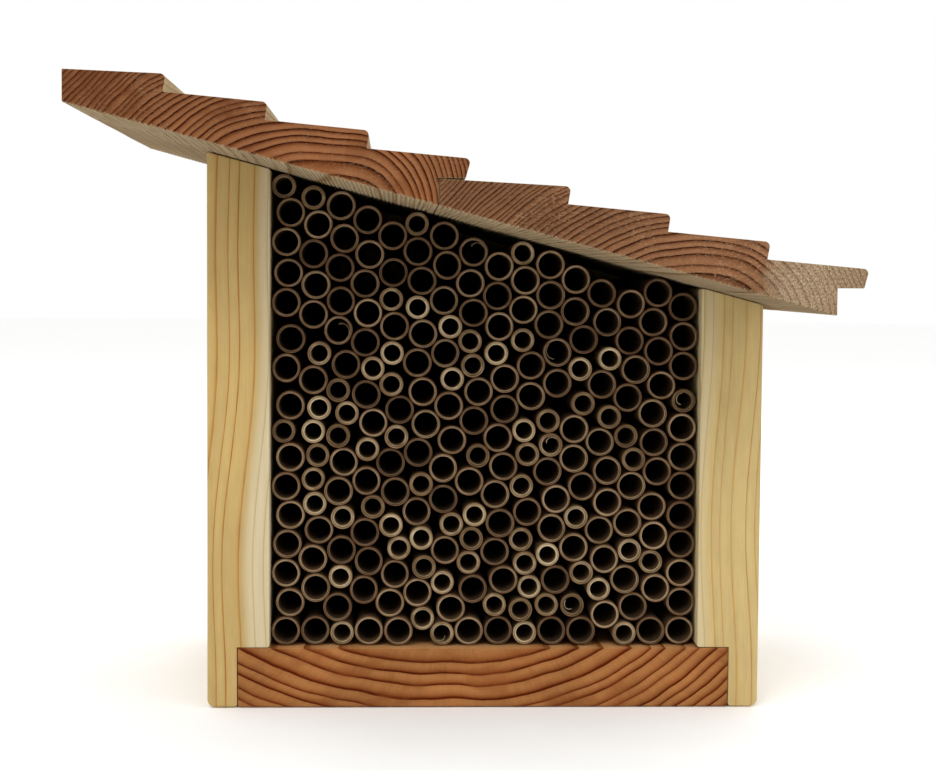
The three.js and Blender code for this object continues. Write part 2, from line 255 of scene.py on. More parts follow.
# How dark the wood is from the start of a year's ring, at 0, to its end: slowly darker, then cut off.
LARCH_RING = [
    (0.0, 0.1), (0.25, 0.0), (0.55, 0.18), (0.76, 0.46), (0.87, 0.9), (0.94, 1.0), (0.98, 0.85), (1.0, 0.1),
]
PINE_RING = [
    (0.0, 0.12), (0.4, 0.0), (0.75, 0.1), (0.86, 0.35), (0.92, 0.95), (0.96, 1.0), (0.985, 0.6), (1.0, 0.12),
]

# Fine marks in the wood: their waves per millimetre across, up and along the grain, detail, roughness.
WOOD_MARKS = {
    "pores": ((2.6, 2.6, 0.052), 2, 0.7),
    "cloud": ((0.045, 0.045, 0.0135), 3, 0.55),
    "streaks": ((1.6, 1.6, 0.035), 4, 0.65),
    "threads": ((5, 5, 0.12), 2, 0.6),
    "blotch": ((0.35, 0.35, 0.09), 3, 0.6),
}
RAYS = (90, 0.12, 0.02)  # waves per radian round the pith, and per millimetre out from it and along it
SECTION = (1, 1, 0.02)  # what varies over the section hardly varies along the grain

# How much each mark lightens or darkens the wood.
END_MARKS = {"pores": 0.42, "rays": 0.34, "cloud": 0.9}
LONG_MARKS = {"streaks": 0.24, "threads": 0.12, "cloud": 0.35, "blotch": 0.24}
SAPWOOD_MARKS = {"streaks": 0.22}
YEAR_SWING = 0.1

DRIFT = 0.006  # waves per millimetre that the pith's wandering has along the grain
END_FACING = (0.6, 0.8)  # between these, as a face turns square to the grain, it becomes end grain
BLUSH = 0.45  # how far patches of the end grain turn to its middle colour
TORN_FIBRES = (170, 138, 106)
WEAR = 0.82  # how far weathering covers the wood
FRINGE = 0.6  # how far the torn fibres cover a lower edge
FRINGE_HEIGHT = 4.5  # millimetres that they vary by
# Painted shade: how much darker the roof's underside is painted than its top, standing in for the shade
# under the roof.
PAINTED_UNDERSIDE_SHADE = 0.76  # the lightness of the roof's underside, as a share of its top's
SAPWOOD_EDGE = (-1.6, 2.4)  # millimetres over which the sapwood begins
WOOD_SHINE = 0.04
GRAIN_DEPTH = 0.00022  # metres
GRAIN_STRENGTH = 0.75


def wood(
    name, grain, pith, law, end_colours, side_colours,
    profile=LARCH_RING, stretch=(1, 1), kink=None, tilt=0, power=2, wander=3.0, wobble=0.5, line=1.0,
    speckle=0.0, fade=None, weathered=None, sapwood=None, fringe_and_painted_shade=None,
):
    """Sawn softwood. The rings go round the pith, a line along the grain, and every face cuts them.

    pith is the line's place in the plane across the grain, and law turns millimetres from it into
    ring numbers. The colours are those of early wood, middle and late wood, in the end grain and
    along the grain. Lengths are millimetres.

    The rings' form: profile is how dark a year is from its start to its end; stretch scales the
    distance to the pith's left and right, so that less than 1 draws the rings out; kink is the height
    and width of a bulge over the pith; tilt turns the rings by degrees; power makes them squarer above
    2; wander and wobble make them uneven along and across the grain; line is how dark late wood is.

    What is seen in places: speckle is how far torn fibres show in the end grain; fade darkens the
    end grain from one distance from the pith to another, down to a level; weathered greys it from
    one pair of places across the board to another, in three colours; sapwood is the distance from
    the pith where it starts, and its colours; fringe is the height at the middle, the fall and the
    colour of a sloping lower edge with torn fibres. The same edge, the roof's underside, also gets
    painted shade on its long grain.
    """
    g = Graph(name)
    x, y, z = g.millimetres()
    point = (x, z, y) if grain == "Y" else (x, y, z)
    across, up, along = point

    drift = g.noise(g.join(g.mul(along, DRIFT), 0.3, 0.7), detail=1)
    drift_up = g.noise(g.join(g.mul(along, DRIFT), 5.3, 2.7), detail=1)
    side = g.add(g.sub(across, pith[0]), g.swing(drift, wander * 2))
    rise = g.add(g.sub(up, pith[1]), g.swing(drift_up, wander * 2))
    if kink:
        kink_height, kink_width = kink
        bell = g.math("EXPONENT", g.mul(g.mul(side, side), -1 / kink_width ** 2))
        rise = g.add(rise, g.mul(bell, kink_height))
    if tilt:
        lean = math.radians(tilt)
        side, rise = (
            g.add(g.mul(side, math.cos(lean)), g.mul(rise, math.sin(lean))),
            g.sub(g.mul(rise, math.cos(lean)), g.mul(side, math.sin(lean))),
        )
    left = g.mul(g.math("MINIMUM", side, 0.0), stretch[0])
    right = g.mul(g.math("MAXIMUM", side, 0.0), stretch[1])
    side = g.add(left, right)
    section = g.join(*(g.mul(part, share) for part, share in zip(point, SECTION)))
    radius = g.reach(side, rise, power)
    radius = g.add(radius, g.swing(g.noise(section, 0.055, 1), wobble * 4))
    radius = g.add(radius, g.swing(g.noise(section, 0.3, 2), wobble * 0.5))

    rings = law(g, radius)
    rings = g.add(rings, g.mul(g.noise_along(g.mul(rings, 0.6)), 0.6))
    part = g.math("FRACT", rings)
    year = g.math("FLOOR", rings)
    year_line = g.spread(g.hashed(year), 0, 1, 0.75 * line, 1.15 * line)
    late = g.mul(g.curve(part, profile), year_line)
    year_level = g.swing(g.hashed(g.add(year, 0.37)), YEAR_SWING)

    marks = {mark: g.waves(point, *settings) for mark, settings in WOOD_MARKS.items()}
    turn = g.math("ARCTAN2", side, rise)
    marks["rays"] = g.waves((turn, radius, along), RAYS, 2, 0.6)
    end_amount = g.spread(g.facing(grain), *END_FACING)
    thirds = (0.0, 0.5, 1.0)

    end = g.ramp(late, stops(thirds, end_colours))
    blush = g.spread(g.noise(g.join(across, g.mul(up, 1.6), 7), 0.07, 2), 0.5, 0.68)
    end = g.blend(g.mul(blush, BLUSH), end, linear(*end_colours[1]))
    end_level = g.level(marks, END_MARKS)
    if fade:
        fade_start, fade_stop, fade_level = fade
        end_level = g.mul(end_level, g.spread(radius, fade_start, fade_stop, 1, fade_level))
    end = g.shade(end, g.add(end_level, year_level))
    if speckle:
        torn = g.noise(g.join(g.mul(across, 0.8), g.mul(up, 1.5), 2), 1.3, 3, 0.75)
        patch = g.spread(g.noise(section, 0.05, 2), 0.35, 0.7, 0.25, 1)
        amount = g.mul(g.mul(g.spread(torn, 0.5, 0.68), patch), speckle)
        end = g.blend(amount, end, linear(*TORN_FIBRES))
    if weathered:
        start, full, thinner, thin, worn = weathered
        ragged = g.add(across, g.swing(g.noise(section, 0.12, 3), 26))
        cover = g.mul(g.spread(ragged, start, full), g.spread(ragged, thinner, thin, 1, 0.7))
        strokes = g.noise(g.join(g.mul(across, 2.2), g.mul(up, 1.3), 4), 1, 4, 0.8)
        grey = g.ramp(strokes, stops((0.39, 0.5, 0.62), worn))
        keep = g.sub(1.0, g.mul(late, 0.35))
        end = g.blend(g.mul(g.mul(cover, keep), WEAR), end, grey)
    if fringe_and_painted_shade:
        height, fall, colour = fringe_and_painted_shade
        above = g.sub(z, g.sub(height, g.mul(x, fall)))
        hairs = g.noise(g.join(g.mul(x, 1.1), g.mul(z, 0.5), 1), 1, 4, 0.8)
        reach = g.spread(g.sub(above, g.mul(g.sub(hairs, 0.55), FRINGE_HEIGHT)), 0.7, 0.0)
        end = g.blend(g.mul(reach, FRINGE), end, linear(*colour))

    long_late = g.mul(late, g.spread(marks["streaks"], 0.25, 0.75, 0.55, 1.25, "LINEAR"))
    long = g.ramp(long_late, stops(thirds, side_colours))
    long = g.shade(long, g.add(g.level(marks, LONG_MARKS), year_level))
    # Painted shade: long grain within about 1.8 mm of the roof's underside is darkened to stand in for the
    # shade under the roof.
    if fringe_and_painted_shade:
        long = g.shade(long, g.spread(above, 1.0, 1.8, PAINTED_UNDERSIDE_SHADE, 1))
    if sapwood:
        start, colours = sapwood
        pale = g.ramp(late, stops(thirds, colours))
        pale = g.shade(pale, g.level(marks, SAPWOOD_MARKS))
        edge = [start + distance for distance in SAPWOOD_EDGE]
        long = g.blend(g.spread(radius, *edge), long, pale)

    end_height = g.add(g.mul(marks["pores"], 0.7), g.mul(late, 0.35))
    long_height = g.add(g.mul(marks["streaks"], 0.8), g.mul(marks["threads"], 0.5))
    long_height = g.add(long_height, g.mul(late, 0.4))
    height = g.add(g.mul(end_height, end_amount), g.mul(long_height, g.sub(1.0, end_amount)))
    roughness = g.add(0.68, g.mul(marks["streaks"], 0.2))
    g.shader.inputs["Specular IOR Level"].default_value = WOOD_SHINE
    return g.finish(g.blend(end_amount, long, end), roughness, height, GRAIN_DEPTH, GRAIN_STRENGTH)


def squared(amount):
    """Rings that lie closer together the farther they are from the pith."""
    return lambda g, radius: g.mul(g.mul(radius, radius), amount)


def even(pitch):
    """Rings that lie one pitch apart."""
    return lambda g, radius: g.mul(radius, 1 / pitch)


ROOF_HEIGHT = 163  # of the roof's underside over the origin, in millimetres
ROOF_FALL = math.tan(math.radians(14.9))
ROOF_SIDE = [(177, 157, 125), (164, 142, 108), (140, 113, 79)]
PINE_END = [(208, 182, 130), (188, 152, 96), (150, 104, 52)]

upper_roof = wood(
    "larch_upper_roof", "Y", (-48, 160), squared(0.0083),
    [(132, 86, 54), (92, 48, 22), (44, 12, 0)], ROOF_SIDE,
    stretch=(0.66, 1.2), tilt=-8, power=2.5, wobble=0.6, line=1.15, speckle=0.22,
    fade=(28, 56, 0.71), fringe_and_painted_shade=(ROOF_HEIGHT, ROOF_FALL, (158, 132, 100)),
)
lower_roof = wood(
    "larch_lower_roof", "Y", (61, 125.7), squared(0.0069),
    [(126, 87, 59), (90, 54, 32), (46, 18, 4)], ROOF_SIDE,
    stretch=(0.78, 1), power=2.2, wobble=0.55, line=1.1, speckle=0.45,
    fade=(26, 50, 0.77), fringe_and_painted_shade=(ROOF_HEIGHT, ROOF_FALL, (164, 140, 106)),
    weathered=(76, 92, 97, 107, [(112, 87, 60), (150, 129, 101), (184, 168, 143)]),
)
floor_wood = wood(
    "larch_floor", "Y", (-10, 70), squared(0.00185),
    [(150, 100, 57), (118, 64, 29), (72, 22, 2)], [(176, 128, 82), (148, 96, 54), (104, 56, 24)],
    stretch=(0.63, 0.78), kink=(-1, 8), wobble=0.55,
)
left_pine = wood(
    "pine_left", "Z", (-164, -20), even(3.6),
    [(206, 176, 120), (184, 142, 84), (146, 96, 44)], [(178, 152, 99), (166, 130, 74), (140, 88, 36)],
    profile=PINE_RING, wander=13, wobble=0.9, line=0.95,
    sapwood=(97.4, [(192, 177, 144), (182, 164, 126), (164, 138, 96)]),
)
right_pine = wood(
    "pine_right", "Z", (168, -30), even(3.4),
    PINE_END, [(184, 161, 110), (172, 141, 86), (142, 98, 46)],
    profile=PINE_RING, wander=12, wobble=0.9, line=0.75,
    sapwood=(99.5, [(192, 175, 136), (182, 162, 118), (160, 130, 84)]),
)
back_pine = wood(
    "pine_back", "Z", (30, 20), even(3.1),
    PINE_END, [(190, 165, 113), (178, 145, 90), (150, 104, 52)],
    profile=PINE_RING, wander=14, wobble=0.9, line=0.8,
)


# ---------- wound paper ----------

RIM_FACING = (0.45, 0.8)  # between these, as a face turns square to the tube, it becomes cut rim
PAPER_WIDTH = 24  # millimetres along the tube from one turn of the seam to the next
SEAM_WIDTH = 0.012  # on each side of its middle, as a share of the paper's width
SEAM_SHADE = 0.35
PAPER_SHINE = 0.15
PAPER_DEPTH = 0.00012  # metres
PAPER_STRENGTH = 0.7


def kraft(name, rim_colours, edge, wall_colours):
    """A wound paper tube: its cut rim shows paler plies, and a seam winds along its walls."""
    g = Graph(name)
    x, y, z = g.millimetres()
    point = g.join(x, y, z)
    tone = g.attribute("tone")
    turn = g.attribute("turn")
    crest = g.attribute("crest")
    rim = g.spread(g.facing("Y"), *RIM_FACING)
    fibres = g.noise(point, 3.2, 4, 0.7)
    mottle = g.noise(point, 0.5, 3, 0.6)
    fuzz = g.waves((x, y, z), (2.2, 0.5, 2.2), 3, 0.7)
    patches = g.spread(g.noise(point, 0.16, 2), 0.3, 0.7)
    rim_tone = g.add(g.mul(tone, 0.55), g.add(g.mul(mottle, 0.3), g.mul(patches, 0.3)))
    rim_colour = g.ramp(rim_tone, stops((0.15, 0.5, 0.9), rim_colours))
    rim_colour = g.shade(rim_colour, g.add(0.72, g.mul(fibres, 0.56)))
    rim_colour = g.blend(crest, linear(*edge), rim_colour)
    wall_tone = g.add(g.mul(tone, 0.5), g.mul(fuzz, 0.5))
    wall = g.ramp(wall_tone, stops((0.25, 0.75), wall_colours))
    winding = g.math("FRACT", g.add(g.mul(y, 1 / PAPER_WIDTH), turn))
    seam = g.math("COMPARE", winding, 0.5, SEAM_WIDTH)
    wall = g.shade(wall, g.sub(1.0, g.mul(seam, SEAM_SHADE)))
    colour = g.blend(rim, wall, rim_colour)
    height = g.sub(g.add(g.mul(fibres, 0.6), g.mul(fuzz, 0.5)), g.mul(seam, 1.2))
    g.shader.inputs["Specular IOR Level"].default_value = PAPER_SHINE
    return g.finish(colour, g.add(0.72, g.mul(mottle, 0.2)), height, PAPER_DEPTH, PAPER_STRENGTH)


wide_kraft = kraft(
    "kraft_wide", [(72, 56, 38), (108, 89, 66), (152, 133, 104)], (104, 64, 33),
    [(52, 37, 23), (84, 62, 40)],
)
narrow_kraft = kraft(
    "kraft_narrow", [(74, 60, 42), (114, 96, 70), (182, 165, 132)], (108, 72, 40),
    [(66, 49, 31), (104, 82, 55)],
)


# ---------- steel ----------

ZINC_COLOURS = [(150, 152, 154), (186, 188, 190), (206, 206, 204)]
ZINC_DULL = (168, 160, 146)
ZINC_METALLIC = 0.95
ZINC_DEPTH = 0.00004  # metres


def zinc():
    g = Graph("zinc_steel")
    x, y, z = g.millimetres()
    point = g.join(x, y, z)
    grain = g.noise(point, 1.4, 3, 0.6)
    scratches = g.waves((x, y, z), (0.6, 6, 6), 2, 0.6)
    dull = g.spread(g.noise(point, 0.25, 3), 0.4, 0.7)
    colour = g.ramp(grain, stops((0.3, 0.6, 0.85), ZINC_COLOURS))
    colour = g.blend(g.mul(dull, 0.35), colour, linear(*ZINC_DULL))
    roughness = g.add(0.28, g.add(g.mul(dull, 0.2), g.mul(scratches, 0.12)))
    height = g.add(g.mul(grain, 0.4), g.mul(scratches, 0.6))
    g.shader.inputs["Metallic"].default_value = ZINC_METALLIC
    return g.finish(colour, roughness, height, ZINC_DEPTH)


zinc_steel = zinc()


# ---------- mesh helpers ----------

BOARD_WELD = 1e-6  # metres between corners that are one
SAME_PLANE = 1e-5  # metres
EDGE_TURN = math.radians(50)  # an outline's corner that turns by less is left sharp
EDGE_SHARE = 0.45  # of a straight edge that the rounding of one corner may use
ROUNDING_STEPS = 3
SHORTEST_EDGE = 1e-4  # millimetres
STRAIGHT = 1e-3  # the sine of a turn that is none
MITRE_LIMIT = 0.5
BOARD_RINGS = 14
EASE_STEP = 0.3  # an eased end has a ring at this share of its ease
STIR = 0.12  # millimetres that a sawn face is uneven by
STIR_WAVES = (0.13, 0.05)  # per millimetre over the section and along the board
SMOOTH_ANGLE = 35  # degrees between faces that are shaded as one


def add_object(name, mesh, materials, body, replaced, smooth=SMOOTH_ANGLE):
    """Puts a finished mesh in the scene, in place of a CAD node."""
    for material in materials:
        mesh.materials.append(material)
    mesh.shade_smooth()
    mesh.set_sharp_from_angle(angle=math.radians(smooth))
    piece = bpy.data.objects.new(name, mesh)
    scene.collection.objects.link(piece)
    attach(piece, body)
    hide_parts(replaced)
    return piece


def finished(name, bm):
    """The mesh made from a bmesh, which is used up."""
    mesh = bpy.data.meshes.new(name)
    bm.to_mesh(mesh)
    bm.free()
    return mesh


def end_outline(node):
    """The outline of a CAD board's front end, anticlockwise seen from the front, in millimetres."""
    bm = bmesh.new()
    bm.from_mesh(nodes[node].data)
    bmesh.ops.remove_doubles(bm, verts=bm.verts, dist=BOARD_WELD)
    front = min(vert.co.y for vert in bm.verts)
    flat = [face for face in bm.faces if all(abs(vert.co.y - front) < SAME_PLANE for vert in face.verts)]
    next_of = {}
    for face in flat:
        for corner in face.loops:
            if sum(1 for other in corner.edge.link_faces if other in flat) == 1:
                next_of[corner.vert] = corner.link_loop_next.vert
    first = next(iter(next_of))
    outline = [first]
    while next_of[outline[-1]] is not first:
        outline.append(next_of[outline[-1]])
    points = [Vector((vert.co.x, vert.co.z)) * MM_PER_METRE for vert in outline]
    bm.free()
    area = sum(a.x * b.y - b.x * a.y for a, b in zip(points, points[1:] + points[:1]))
    if area < 0:
        points.reverse()
    return without_straights(points)


def without_straights(points):
    """The outline without points that lie on a straight run of it."""
    kept = []
    for i, point in enumerate(points):
        before = point - points[i - 1]
        after = points[(i + 1) % len(points)] - point
        turning = abs(before.normalized().cross(after.normalized()))
        if before.length > SHORTEST_EDGE and turning > STRAIGHT:
            kept.append(point)
    return kept


def softened(points, radius):
    """The outline with each outward corner rounded off."""
    result = []
    for i, point in enumerate(points):
        back = points[i - 1] - point
        on = points[(i + 1) % len(points)] - point
        turning = (-back).cross(on)
        angle = (-back).angle(on)
        if turning < 0 or angle < EDGE_TURN:
            result.append(point)
            continue
        reach = min(radius * math.tan(angle / 2), back.length * EDGE_SHARE, on.length * EDGE_SHARE)
        start = point + back.normalized() * reach
        stop = point + on.normalized() * reach
        for step in range(ROUNDING_STEPS + 1):
            t = step / ROUNDING_STEPS
            result.append(start * (1 - t) ** 2 + point * 2 * t * (1 - t) + stop * t * t)
    return result


def inset(points, amount):
    """The outline moved inwards by an amount that is small beside its edges."""
    result = []
    for i, point in enumerate(points):
        before = (point - points[i - 1]).normalized()
        after = (points[(i + 1) % len(points)] - point).normalized()
        normal = Vector((-before.y - after.y, before.x + after.x))
        if normal.length < 1e-6:
            normal = Vector((-before.y, before.x))
        normal.normalize()
        spread = max(MITRE_LIMIT, normal.dot(Vector((-before.y, before.x))))
        result.append(point + normal * amount / spread)
    return result


def extruded(name, points, near, far, ease, seed):
    """A board: an outline drawn out from one depth to another with eased ends, in millimetres."""
    step = ease * EASE_STEP
    levels = [(near, ease), (near + step, step), (near + ease, 0)]
    for i in range(1, BOARD_RINGS):
        levels.append((near + ease + (far - near - 2 * ease) * i / BOARD_RINGS, 0))
    levels += [(far - ease, 0), (far - step, step), (far, ease)]
    over, along = STIR_WAVES
    verts = []
    for depth, amount in levels:
        for point in inset(points, amount) if amount else points:
            spot = Vector((point.x * over, depth * along, point.y * over + seed))
            wave = noise.noise_vector(spot) * STIR
            verts.append(Vector((point.x + wave.x, depth, point.y + wave.z)) * MM)
    count = len(points)
    faces = [tuple(range(count))]
    faces.append(tuple(range(len(verts) - 1, len(verts) - 1 - count, -1)))
    for level in range(len(levels) - 1):
        base = level * count
        for i in range(count):
            j = (i + 1) % count
            faces.append((base + j, base + i, base + count + i, base + count + j))
    blank = bpy.data.meshes.new(name + ".blank")
    blank.from_pydata(verts, [], faces)
    bm = bmesh.new()
    bm.from_mesh(blank)
    bpy.data.meshes.remove(blank)
    bmesh.ops.triangulate(bm, faces=bm.faces, ngon_method="EAR_CLIP")
    return finished(name, bm)


def lathed(name, rings, segments, place):
    """A closed turned form. Each ring is a depth and a function or number for its radius."""
    bm = bmesh.new()
    loops = []
    for depth, radius in rings:
        loop = []
        for i in range(segments):
            angle = 2 * math.pi * i / segments
            size = radius(angle) if callable(radius) else radius
            point = Vector((size * math.cos(angle), size * math.sin(angle), depth))
            loop.append(bm.verts.new(place @ (point * MM)))
        loops.append(loop)
    for a, b in zip(loops, loops[1:]):
        for i in range(segments):
            j = (i + 1) % segments
            bm.faces.new((a[i], a[j], b[j], b[i]))
    bm.faces.new(list(reversed(loops[0])))
    bm.faces.new(loops[-1])
    bmesh.ops.recalc_face_normals(bm, faces=bm.faces)
    return finished(name, bm)


# ---------- wood screws ----------

# Radii and lengths in millimetres. The first four are those of the CAD screws.
HEAD = 3.9
HEAD_HEIGHT = 2.8
SHANK = 1.9
POINT = 4
HEAD_LIP = 0.25
NECK = 0.8
THREAD_PITCH = 2.4
THREAD_DEPTH = 0.45
THREAD_STEPS = 6  # rings to one turn of the thread
SCREW_SIDES = 24
HEAD_TURN = 1.7  # radians from one screw's recess to the next one's

RECESS_DEPTH = 1.7
RECESS_LOBES = 6
LOBE_SHARE = 0.16  # of the recess's radius

HOLE_SIDES = 28
HOLE_GAP = 0.15
HOLE_ABOVE = 3
HOLE_BELOW = 0.3

DIRECTIONS = {
    "floor": Vector((0, 0, 1)),
    "roof": Vector((0, 0, -1)),
    "back_left": Vector((1, 0, 0)),
    "back_right": Vector((-1, 0, 0)),
    "hanger": Vector((0, -1, 0)),
}


def screw_direction(node):
    kind = node.split("_")[0]
    side = node.split("_")[2]
    return DIRECTIONS[f"back_{side}" if kind == "back" else kind]


def screw_place(node):
    """The head's middle as a matrix whose Z points out of the head, and the screw's length."""
    low, high = (Vector(corner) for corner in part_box(node))
    into = screw_direction(node)
    middle = (low + high) / 2
    half = abs((high - low).dot(into)) / 2
    turn = Vector((0, 0, 1)).rotation_difference(-into)
    return Matrix.Translation(middle - into * half) @ turn.to_matrix().to_4x4(), half * 2 / MM


def star(size):
    """The radius of a lobed recess, by angle."""
    return lambda angle: size * (1 + LOBE_SHARE * math.cos(RECESS_LOBES * angle))


def thread(depth):
    """The radius of a threaded shank at a depth, by angle."""
    def radius(angle):
        phase = (depth / THREAD_PITCH + angle / (2 * math.pi)) % 1
        return SHANK - THREAD_DEPTH + THREAD_DEPTH * max(0, 1 - abs(phase - 0.5) * 4)
    return radius


def screw_mesh(node, number):
    place, length = screw_place(node)
    place = place @ Matrix.Rotation(number * HEAD_TURN, 4, "Z")
    # From the recess's floor up its wall, over the head, and down to the shank.
    rings = [
        (-RECESS_DEPTH, 0.4), (-RECESS_DEPTH + 0.3, star(1.35)), (-0.12, star(1.5)), (0, star(1.62)),
        (0, HEAD - HEAD_LIP), (-0.08, HEAD - 0.06), (-HEAD_LIP, HEAD), (-HEAD_HEIGHT, SHANK - 0.3),
    ]
    step = THREAD_PITCH / THREAD_STEPS
    for i in range(int((length - HEAD_HEIGHT - POINT) / step)):
        depth = -HEAD_HEIGHT - NECK - i * THREAD_PITCH / THREAD_STEPS
        rings.append((depth, thread(depth)))
    rings.append((-length + 0.15, 0.25))
    return lathed(node, rings, SCREW_SIDES, place)


def screw_cutter(node):
    """The hole that a screw lies in, open above its head."""
    place, length = screw_place(node)
    head = HEAD + HOLE_GAP
    shank = SHANK + HOLE_GAP
    rings = [(HOLE_ABOVE, head), (0, head), (-HEAD_HEIGHT, shank), (-length - HOLE_BELOW, shank)]
    return lathed(node + ".hole", rings, HOLE_SIDES, place)


screw_nodes = sorted(name for name in nodes if "_screw_" in name)


def overlaps(first, second):
    """Whether two boxes do, each given as its lowest and its highest corner."""
    (low_a, high_a), (low_b, high_b) = first, second
    return all(low_a[i] < high_b[i] and low_b[i] < high_a[i] for i in range(3))


def cut(mesh, cutters):
    """The mesh with every cutter taken out of it."""
    base = bpy.data.objects.new("base", mesh)
    scene.collection.objects.link(base)
    tools = []
    for cutter in cutters:
        tool = bpy.data.objects.new("tool", cutter)
        scene.collection.objects.link(tool)
        tools.append(tool)
        modifier = base.modifiers.new("hole", "BOOLEAN")
        modifier.operation = "DIFFERENCE"
        modifier.solver = "EXACT"
        modifier.object = tool
    bpy.context.view_layer.update()
    graph = bpy.context.evaluated_depsgraph_get()
    result = bpy.data.meshes.new_from_object(base.evaluated_get(graph))
    for temporary in [base, *tools]:
        bpy.data.objects.remove(temporary)
    return result


def drilled(mesh, node, more=()):
    """The mesh with the holes of the screws that reach into its node, and any more cutters' holes."""
    cutters = [screw_cutter(name) for name in screw_nodes if overlaps(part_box(name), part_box(node))]
    return cut(mesh, [*cutters, *more])


# ---------- boards ----------

# The ribs planed into the roof's underside, in millimetres.
RIB_PITCH = 1.42
RIB_START = 0.75  # of a pitch, to the middle of the first groove
RIB_PLAY = 0.12
RIB_DEPTH = 0.32
RIB_DEPTH_RANGE = (0.6, 1.1)
GROOVE = [(-0.34, 0), (-0.16, 1), (0.16, 0.92), (0.34, 0)]  # places across it, and shares of its depth

BOX_CORNER = 3  # millimetres
BOX_CORNER_STEPS = 5

# The pocket behind the hanger plate, in millimetres from the plate's middle and from its front.
POCKET_HALF_WIDTH = 8
POCKET_BELOW = 7.5
POCKET_ABOVE = 9.5
POCKET_DEPTH = 6.3
POCKET_OVERRUN = 1


def ribbed(points, dice):
    """The outline with fine ribs planed into its longest edge, the roof's underside."""
    lengths = [(points[(i + 1) % len(points)] - point).length for i, point in enumerate(points)]
    i = lengths.index(max(lengths))
    start = points[i]
    stop = points[(i + 1) % len(points)]
    run = (stop - start).normalized()
    into = Vector((-run.y, run.x))
    ribs = int((stop - start).length / RIB_PITCH) - 1
    chain = []
    for k in range(ribs):
        at = (k + RIB_START) * RIB_PITCH + dice.uniform(-RIB_PLAY, RIB_PLAY)
        depth = RIB_DEPTH * dice.uniform(*RIB_DEPTH_RANGE)
        for along, share in GROOVE:
            chain.append(start + run * (at + along) + into * (depth * share))
    return points[:i + 1] + chain + points[i + 1:]


def depth_range(node):
    """How far forward and how far back a CAD node reaches, in millimetres."""
    low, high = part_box(node)
    return low[1] / MM, high[1] / MM


def rounded_box(name, low, high):
    """A box whose edges along its depth are rounded, in millimetres."""
    bm = bmesh.new()
    bmesh.ops.create_cube(bm, size=1)
    for vert in bm.verts:
        vert.co = Vector(tuple(low[i] + (vert.co[i] + 0.5) * (high[i] - low[i]) for i in range(3))) * MM
    deep = [edge for edge in bm.edges if abs(edge.verts[0].co.y - edge.verts[1].co.y) > 1 * MM]
    bmesh.ops.bevel(
        bm, geom=deep, offset=BOX_CORNER * MM, segments=BOX_CORNER_STEPS, profile=0.5, affect="EDGES",
    )
    return finished(name, bm)


def board(node, material, seed, ease=0.4, corner=0.9, ribs=None, closer=0.0, more=()):
    """A sawn board inside its CAD solid, whose upper half may stand closer to the roof."""
    points = end_outline(node)
    half_way = sum(point.y for point in points) / len(points)
    points = [Vector((point.x, point.y + (closer if point.y > half_way else 0))) for point in points]
    points = softened(points, corner)
    if ribs is not None:
        points = ribbed(points, ribs)
    near, far = depth_range(node)
    mesh = extruded(node + ".sawn", points, near, far, ease, seed)
    mesh = drilled(mesh, node, more)
    return add_object(node + ".sawn", mesh, [material], "house", node)


board("left_side", left_pine, 1)
board("right_side", right_pine, 2)
board("floor_board", floor_wood, 3, ease=0.3, corner=0.7)
board("roof_board_upper", upper_roof, 4, ease=0.2, corner=0.35, ribs=random.Random(4))
board("roof_board_lower", lower_roof, 5, ease=0.2, corner=0.35, ribs=random.Random(5))
plate_low, plate_high = (Vector(corner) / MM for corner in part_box("hanger_plate"))
plate_middle = (plate_low + plate_high) / 2
pocket_left = plate_middle.x - POCKET_HALF_WIDTH
pocket_right = plate_middle.x + POCKET_HALF_WIDTH
pocket = rounded_box(
    "pocket",
    (pocket_left, plate_low.y - POCKET_DEPTH, plate_middle.z - POCKET_BELOW),
    (pocket_right, plate_low.y + POCKET_OVERRUN, plate_middle.z + POCKET_ABOVE),
)
board("back_panel", back_pine, 6, ease=0.3, corner=0.7, closer=0.25, more=[pocket])

for number, name in enumerate(screw_nodes):
    add_object(name + ".turned", screw_mesh(name, number), [zinc_steel], "house", name)

plate = nodes["hanger_plate"]
plate.data.materials.clear()
plate.data.materials.append(zinc_steel)


# ---------- tubes ----------

TUBE_REAR = 0.052  # metres
FRONT_ZONE = -0.060  # metres; what is ahead of it belongs to the tubes' front rims
TUBE_WELD = 1e-5  # metres between corners that are one
PLACE_DIGITS = 3  # of millimetres, so that rounding noise can't change the tubes' order
NARROW_LIMIT = 4.5  # a tube with a smaller outer radius is a narrow one
TUBE_SIDES = 36
TUBE_SMOOTH_ANGLE = 50

# How much the tubes differ, in millimetres.
SQUASH = 0.016  # as a share of the radius
ROUGH_EDGE = (0.02, 0.09)
PLY_STEPS = (0.0, 0.0, 0.15, 0.35, 0.6)  # how far the inner plies stand back from the outer ones
EDGE_WAVES = 1.3  # of a rim's unevenness, per radian
TORN_INSIDE = 0.12

FLAP_CHANCE_WIDE = 0.01
FLAP_CHANCE_NARROW = 0.06
FLAP_SWEEP = (1.3, 2.4)  # radians
FLAP_CURL = (0.35, 0.6)  # of the bore's radius
FLAP_LENGTH = (3, 7)
FLAP_THICKNESS = 0.14
FLAP_STEPS = 14
FLAP_TONE = 0.95

BACKING_ZONE = 0.0021  # metres ahead of the tubes' rear ends
BACKING_TONE = 0.3
FACE_VALUES = ("tone", "turn", "crest")  # what the paper's material reads from each face


